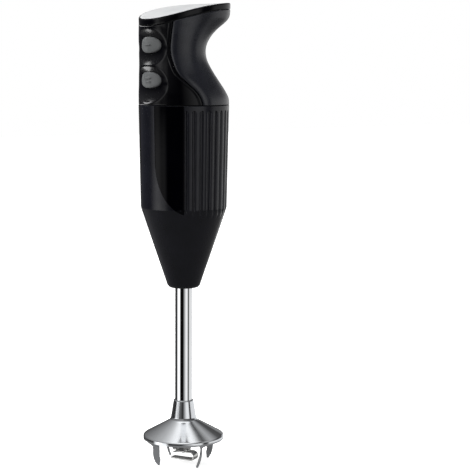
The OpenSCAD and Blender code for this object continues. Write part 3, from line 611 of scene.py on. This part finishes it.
rear_edge = np.array([0, 0.002, 0.005, 0.009, 0.014, 0.02, 0.028, 0.038, 0.05, 0.065])
rear_half = np.concatenate((1 - rear_edge, np.linspace(0.91, 0, 44)))
rear_columns = np.concatenate((-rear_half, rear_half[-2::-1]))
rear_rows = np.concatenate((end_share, np.linspace(0.018, 0.982, 84), 1 - end_share[::-1]))
rear_grip = sheet("rear_grip_shell", rear_columns, rear_rows, rear_skin)
work(rear_grip, "SOLIDIFY", thickness=SHELL_WALL * mm, offset=-1)
INLET = Matrix.Translation((0, 22.6 * mm, 322.4 * mm)) @ Matrix.Rotation(
    math.pi, 4, "Z") @ Matrix.Rotation(math.radians(141.7), 4, "X")
hole = start(bpy.ops.mesh.primitive_cylinder_add, "inlet_hole", vertices=96, radius=5.55 * mm,
             depth=30 * mm)
hole.data.transform(INLET)
carve(rear_grip, hole)
soft_grip = made_of("soft_grip", (0.012, 0.013, 0.02), (0.018, 0.0195, 0.028), cloud=16,
                    rough=(0.24, 0.33), grain=0.35, bump=0.01, Sheen_Weight=0.06,
                    Sheen_Roughness=0.4)
seat(rear_grip, "body", "soft_grip", soft_grip, "rear_grip", smooth=40)

# ---------------------------------------------------------------- top cap and rating plate
# A gloss black cap closes the handle, held by two screws under the plate. The plate is a
# thin domed skin of satin silver stock, left blank, in a shallow recess.


def capped(name, profile):
    """Closed domed slab that follows the handle's outline. profile is (share, inset, drop):
    the share of the outline's size, then the inset and the drop below the dome in mm."""
    share, inset, drop = (np.array(c, float) for c in zip(*profile))
    count = 240
    middle_y = 0.15

    def place(turn_share, row):
        k, i, d = (np.interp(row, np.arange(len(profile)), c) for c in (share, inset, drop))
        angle = turn_share * math.tau
        z = np.full_like(angle, 330.0)
        for _ in range(8):
            x, y = skin(angle, z, i)
            x, y = x * k, middle_y + (y - middle_y) * k
            z = dome(y, d)
        return x, y, z

    slab = sheet(name, np.linspace(0, 1, count + 1), np.arange(len(profile), dtype=float), place)
    bpy.ops.object.mode_set(mode="EDIT")
    close()
    return slab


inner = (0, 0.12, 0.25, 0.4, 0.55, 0.7, 0.82, 0.9)
cap_profile = ([(k, 3, 3) for k in inner] + [(1, 3, 3), (1, 3, 4.2), (1, 2.9, 4.3), (1, 0.4, 4.3)]
               + [(1, 0.12, 4.18), (1, 0, 3.9), (1, 0, 3.4), (1, 0, 2.2), (1, 0, 1.0), (1, 0.03, 0.7)]
               + [(1, 0.12, 0.4), (1, 0.3, 0.17), (1, 0.55, 0.04), (1, 0.8, 0), (1, 0.95, 0.03)]
               + [(1, 1, 0.1), (1, 1, 0.8)] + [(k, 1, 0.8) for k in reversed(inner)])
top_cap = capped("top_cap_rim", cap_profile)
seat(top_cap, "body", "gloss_black", shell_black, "top_cap", smooth=40)

plate_profile = ([(k, 1.15, 0.75) for k in inner] + [(1, 1.15, 0.75), (1, 1.12, 0.1)]
                 + [(1, 1.2, 0.0), (1, 1.35, -0.05), (1, 1.8, -0.05)]
                 + [(k, 1.8, -0.05) for k in reversed(inner)])
plate = capped("rating_plate_blank", plate_profile)
plate_silver = made_of("plate_silver", (0.62, 0.63, 0.64), (0.72, 0.73, 0.735), cloud=30,
                       rough=(0.3, 0.42), grain=0.12, bump=0.004, Metallic=0.25)
seat(plate, "body", "plate", plate_silver, "rating_plate", smooth=40)

# ---------------------------------------------------------------- push buttons
# Two soft grey rubber buttons, wide ovals whose faces follow the handle's front. One
# raised bar on the upper and two on the lower tell them apart by touch.
FACE_R, FACE_Y = 34.0, 3.0
button_rubber = made_of("button_rubber", (0.105, 0.11, 0.112), (0.145, 0.15, 0.152), cloud=7,
                        rough=(0.5, 0.62), grain=0.25, bump=0.02)


def button(name, z0, bars):
    """One button: a disc of rings shaped into a wide oval with a rolled edge and a skirt.
    A ring is its share of the oval and how far it falls back from the face."""
    rings = [(0, 0), (0.3, 0), (0.5, 0.02), (0.66, 0.05), (0.78, 0.1), (0.87, 0.17), (0.93, 0.3),
             (0.965, 0.46), (0.988, 0.7), (1, 1.05), (1, 1.5), (1, 2.6), (1, 4.4), (0.97, 4.4),
             (0.9, 4.4), (0, 4.4)]

    def place(turn_share, row):
        k, fall = (np.interp(row, np.arange(len(rings)), c) for c in zip(*rings))
        a = -turn_share * math.tau
        c, s = np.cos(a), np.sin(a)
        x = BUTTON_WIDE * k * np.sign(c) * np.abs(c) ** OVAL
        z = BUTTON_TALL * k * np.sign(s) * np.abs(s) ** OVAL
        y = FACE_Y - np.sqrt(FACE_R ** 2 - x ** 2) + fall
        return x, np.minimum(y, -25.7), z0 + z

    cap = sheet(name, np.linspace(0, 1, 97), np.arange(len(rings), dtype=float), place)
    bpy.ops.object.mode_set(mode="EDIT")
    close()
    for i in range(bars):
        z = z0 + (i - (bars - 1) / 2) * 2.4
        bar = start(bpy.ops.mesh.primitive_cube_add, "bar", size=1 * mm)
        bar.scale = (6.6, 1.6, 1.0)
        bar.location = (0, (FACE_Y - FACE_R + 0.3) * mm, z * mm)
        bpy.ops.object.transform_apply(location=True, rotation=True, scale=True)
        work(bar, "BEVEL", width=0.3 * mm, segments=3, limit_method="NONE")
        carve(cap, bar, "UNION")
    return cap


seat(button("button_low_cap", BUTTON_LOW, 2), "low_button", "button_rubber", button_rubber,
     "button_low")
seat(button("button_high_cap", BUTTON_HIGH, 1), "high_button", "button_rubber", button_rubber,
     "button_high")

# ---------------------------------------------------------------- cord inlet
# Rubber bush pressed into the back of the handle, where the mains lead would enter. Its
# mouth is rolled and a groove runs round it.
seal_rubber = made_of("seal_rubber", (0.018, 0.018, 0.018), (0.034, 0.034, 0.035), cloud=4,
                      rough=(0.55, 0.72), grain=0.2, bump=0.02)
bush = lathe("cord_inlet_rubber", softened([
    (3.4, -5.6, 0.3), (6.4, -5.6, 0.4), (6.4, -4, 0.3), (5.45, -4, 0.2), (5.45, 0.2, 0.1),
    (5.05, 0.35, 0.1), (5.05, 0.75, 0.1), (5.45, 0.9, 0.1), (5.45, 1.4, 0.35), (3.4, 1.4, 0.6)]),
    steps=96)
bush.data.transform(INLET)
seat(bush, "body", "seal_rubber", seal_rubber, "cord_inlet_bush")

# ---------------------------------------------------------------- shaft tube
# Drawn stainless tube, chromed and polished to a mirror, pressed into the nose at the
# top and into the guard's collar below.
tube_low, tube_high = (corner.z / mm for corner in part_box("shaft_tube"))
TUBE_R, TUBE_BORE = 6.4, 5.2
chrome = made_of("chrome", (0.74, 0.75, 0.77), (0.8, 0.81, 0.82), cloud=25, rough=(0.035, 0.07),
                 grain=1.4, bump=0.0006, Metallic=1.0)
tube = lathe("shaft_tube_polished", softened([
    (TUBE_BORE, tube_low, 0.2), (TUBE_R, tube_low, 0.3), (TUBE_R, tube_low + 1, 0),
    (TUBE_R, tube_high - 1, 0), (TUBE_R, tube_high, 0.3), (TUBE_BORE, tube_high, 0.2)]), steps=192)
seat(tube, "body", "chrome_steel", chrome, "shaft_tube")

# ---------------------------------------------------------------- guard
# Pressed steel bell with a long collar, in satin steel. Four feet are pressed from the same
# strip: each spreads into the rim as a web, leans in low down and ends in a fang.
bell = lathe("guard_bell", softened([
    (6.42, 32.4, 0), (6.42, 47.5, 0.2), (7.15, 47.5, 0.35), (7.45, 46.9, 0.6), (7.56, 46.2, 0),
    (9.24, 35.4, 0), (9.4, 34.4, 2.5), (10.1, 32.8, 1.5), (11.2, 31.8, 1.2), (12.6, 31.01, 0),
    (28.3, 22.16, 0), (29.3, 21.6, 0.9), (30.1, 20.7, 0.6),
    (30.1, 18.2, 0.3), (28.8, 18.2, 0.3), (28.5, 20.1, 0.6), (11.4, 30, 1.2), (9.6, 31.2, 0.8),
    (8.2, 32.4, 0.3)], steps=6), steps=288)
FOOT_R, FOOT_TURN, FOOT_T = 24.0, -33.0, 1.6


def foot_sheet(s, row):
    """Middle surface of a foot and its web: s is -1 to 1 across, row is the height."""
    z = row
    spread = np.clip((z - 14.6) / (19.7 - 14.6), 0, 1)
    spread = spread * spread * (3 - 2 * spread)
    # the foot's strip, with its sides drawn in towards the fang
    outer = np.interp(z, [0, 4.2, 6.6, 21], [-2.6, -3.1, -2.55, -2.55])
    inner_side = np.interp(z, [0, 2.8, 6.2, 9.4, 21], [-1.2, 0.9, 2.05, 2.55, 2.55])
    along = outer + (inner_side - outer) * (s + 1) / 2
    lean = math.radians(FOOT_TURN)
    bend = 3.2 * np.clip((13 - z) / 13, 0, 1) ** 1.6
    foot_x = FOOT_R + along * math.cos(lean) + bend * math.sin(lean)
    foot_y = along * math.sin(lean) - bend * math.cos(lean)
    arc = np.radians(-11.0 * s)
    rim_x, rim_y = 29.3 * np.cos(arc), 29.3 * np.sin(arc)
    return (foot_x + (rim_x - foot_x) * spread, foot_y + (rim_y - foot_y) * spread, z)


foot_rows = np.array([0, 0.8, 1.8, 2.8, 4.2, 5.4, 6.6, 8, 9.4, 11, 13, 14.6, 15.6, 16.4, 17.1,
                      17.8, 18.5, 19.1, 19.7])
for quarter in range(4):
    foot = sheet("guard_foot", np.linspace(-1, 1, 9), foot_rows, foot_sheet)
    work(foot, "SOLIDIFY", thickness=FOOT_T * mm, offset=0)
    work(foot, "BEVEL", width=0.35 * mm, segments=3, limit_method="ANGLE",
         angle_limit=math.radians(50))
    foot.data.transform(Matrix.Rotation(math.radians(90 * quarter), 4, "Z"))
    foot.data.update()
    bpy.ops.object.select_all(action="DESELECT")
    foot.select_set(True)
    bell.select_set(True)
    bpy.context.view_layer.objects.active = bell
    bpy.ops.object.join()
satin_steel = made_of("satin_steel", (0.68, 0.7, 0.73), (0.76, 0.78, 0.8), cloud=18,
                      rough=(0.09, 0.15), grain=0.5, bump=0.001, stretch=(1, 1, 0.2),
                      Metallic=1.0)
seat(bell, "body", "chrome_steel", satin_steel, "guard", smooth=40)

# ---------------------------------------------------------------- blade
# The push-on blade: a notched steel hub over a nylon liner, three ground arms at
# different angles and one arm folded back under the hub, riveted together.
blade_steel = made_of("blade_steel", (0.5, 0.5, 0.49), (0.66, 0.66, 0.65), cloud=3,
                      rough=(0.1, 0.2), grain=0.25, bump=0.003, stretch=(1, 1, 0.12),
                      Metallic=1.0)


def eased(node, name, width):
    """Copy of a CAD node with its loose faces merged and its sharp edges broken."""
    bpy.ops.object.select_all(action="DESELECT")
    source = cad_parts[node]
    source.select_set(True)
    bpy.context.view_layer.objects.active = source
    bpy.ops.object.duplicate()
    piece = bpy.context.object
    piece.name = name
    for key in [k for k in piece.keys() if k.startswith("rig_")]:
        del piece[key]
    piece.parent = None
    bpy.ops.object.mode_set(mode="EDIT")
    bpy.ops.mesh.select_all(action="SELECT")
    bpy.ops.mesh.remove_doubles(threshold=0.001 * mm)
    bpy.ops.mesh.dissolve_limited(angle_limit=math.radians(2))
    bpy.ops.object.mode_set(mode="OBJECT")
    work(piece, "BEVEL", width=width * mm, segments=2, limit_method="ANGLE",
         angle_limit=math.radians(35))
    return piece


for node, name, width in (("hub_sleeve", "blade_hub", 0.15), ("cutter_arms", "blade_arms", 0.16),
                          ("cutter_loop", "blade_loop", 0.16), ("cutter_rivet", "blade_rivet", 0.2)):
    seat(eased(node, name, width), "blade", "blade_steel", blade_steel, node)

# ---------------------------------------------------------------- seals and damper
# Moulded rubber: the two gaskets of the handle, the shaft's lip seal, and the ring that
# the motor sits on.


def keep(finish, *nodes):
    """Gives CAD nodes that stay as they are a finish."""
    for node in nodes:
        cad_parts[node].data.materials.clear()
        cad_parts[node].data.materials.append(finish)


keep(seal_rubber, "cap_gasket", "housing_gasket", "lip_seal", "motor_damper")

# ---------------------------------------------------------------- screws
# Zinc-plated self-cutting screws with turned heads.
zinc = made_of("zinc_plate", (0.5, 0.52, 0.55), (0.66, 0.68, 0.7), cloud=1.5, rough=(0.22, 0.4),
               grain=0.2, bump=0.004, Metallic=1.0)
keep(zinc, "cap_screws", "clamp_screws", "carrier_screws", "motor_screws", "brush_springs",
     "retaining_ring")

# ---------------------------------------------------------------- moulded inner parts
# Glass-filled black nylon: the button carrier and its plungers, the cord clamp and the
# two motor brackets. White nylon: the terminal block, couplings and blade liner.
inner_black = made_of("inner_black", (0.035, 0.037, 0.044), (0.06, 0.062, 0.07), cloud=5,
                      rough=(0.45, 0.6), grain=0.3, bump=0.015)
white_nylon = made_of("white_nylon", (0.74, 0.72, 0.65), (0.84, 0.82, 0.76), cloud=5,
                      rough=(0.36, 0.5), grain=0.3, bump=0.008, Subsurface_Weight=0.1)
keep(inner_black, "button_carrier", "plunger_low", "plunger_high", "cord_clamp",
     "upper_bracket", "lower_bracket")
keep(white_nylon, "terminal_block", "coupling_top", "coupling_bottom", "hub_liner")

# ---------------------------------------------------------------- electrics
# Glass-fibre board with green solder resist, two moulded push switches, a bridge
# rectifier, a dipped film capacitor and two insulated leads down to the brushes.
solder_resist = made_of("solder_resist", (0.015, 0.1, 0.045), (0.03, 0.17, 0.08), cloud=2,
                        rough=(0.2, 0.34), grain=0.6, bump=0.02)
component_black = made_of("component_black", (0.015, 0.015, 0.017), (0.03, 0.03, 0.033), cloud=2,
                          rough=(0.4, 0.55), grain=0.15, bump=0.01)
dipped_film = made_of("dipped_film", (0.36, 0.17, 0.03), (0.5, 0.27, 0.06), cloud=4,
                      rough=(0.16, 0.28), grain=1.2, bump=0.03)
lead_cover = made_of("lead_cover", (0.36, 0.035, 0.03), (0.46, 0.06, 0.05), cloud=3,
                     rough=(0.36, 0.48), grain=0.4, bump=0.01)
keep(solder_resist, "circuit_board")
keep(component_black, "switch_low", "switch_high", "rectifier")
keep(dipped_film, "capacitor")
keep(lead_cover, "motor_leads")

# ---------------------------------------------------------------- motor
# Series motor: varnished steel laminations, enamelled copper windings, a turned
# commutator with carbon brushes in brass holders, a ground shaft in plain bearings.
laminations = made_of("laminations", (0.16, 0.16, 0.17), (0.26, 0.26, 0.27), cloud=1.2,
                      rough=(0.34, 0.5), grain=0.5, bump=0.05, stretch=(0.02, 0.02, 1),
                      Metallic=0.8)
copper_wire = made_of("copper_wire", (0.42, 0.13, 0.04), (0.62, 0.25, 0.09), cloud=1.5,
                      rough=(0.22, 0.4), grain=0.5, bump=0.08, stretch=(1, 1, 0.1), Metallic=0.9)
turned_brass = made_of("turned_brass", (0.6, 0.42, 0.16), (0.74, 0.56, 0.26), cloud=3,
                       rough=(0.2, 0.36), grain=0.2, bump=0.004, stretch=(0.1, 0.1, 1),
                       Metallic=1.0)
brush_carbon = made_of("brush_carbon", (0.022, 0.022, 0.024), (0.05, 0.05, 0.052), cloud=0.6,
                       rough=(0.5, 0.7), grain=0.12, bump=0.02)
ground_steel = made_of("ground_steel", (0.5, 0.51, 0.53), (0.66, 0.67, 0.69), cloud=6,
                       rough=(0.14, 0.26), grain=0.12, bump=0.002, stretch=(0.1, 0.1, 1),
                       Metallic=1.0)
keep(laminations, "stator_core", "armature_core")
keep(copper_wire, "field_coils", "armature_windings")
keep(turned_brass, "upper_bearing", "lower_bearing", "brush_holders", "commutator", "upper_bush",
     "middle_bush", "lower_bush")
keep(brush_carbon, "carbon_brushes")
keep(ground_steel, "motor_shaft", "drive_shaft", "cross_pin")

# ---------------------------------------------------------------- coupling spider
# Red rubber spider that takes up shocks between the coupling's claws.
spider_rubber = made_of("spider_rubber", (0.24, 0.025, 0.02), (0.34, 0.05, 0.035), cloud=2,
                        rough=(0.5, 0.66), grain=0.2, bump=0.02)
keep(spider_rubber, "coupling_rubber")
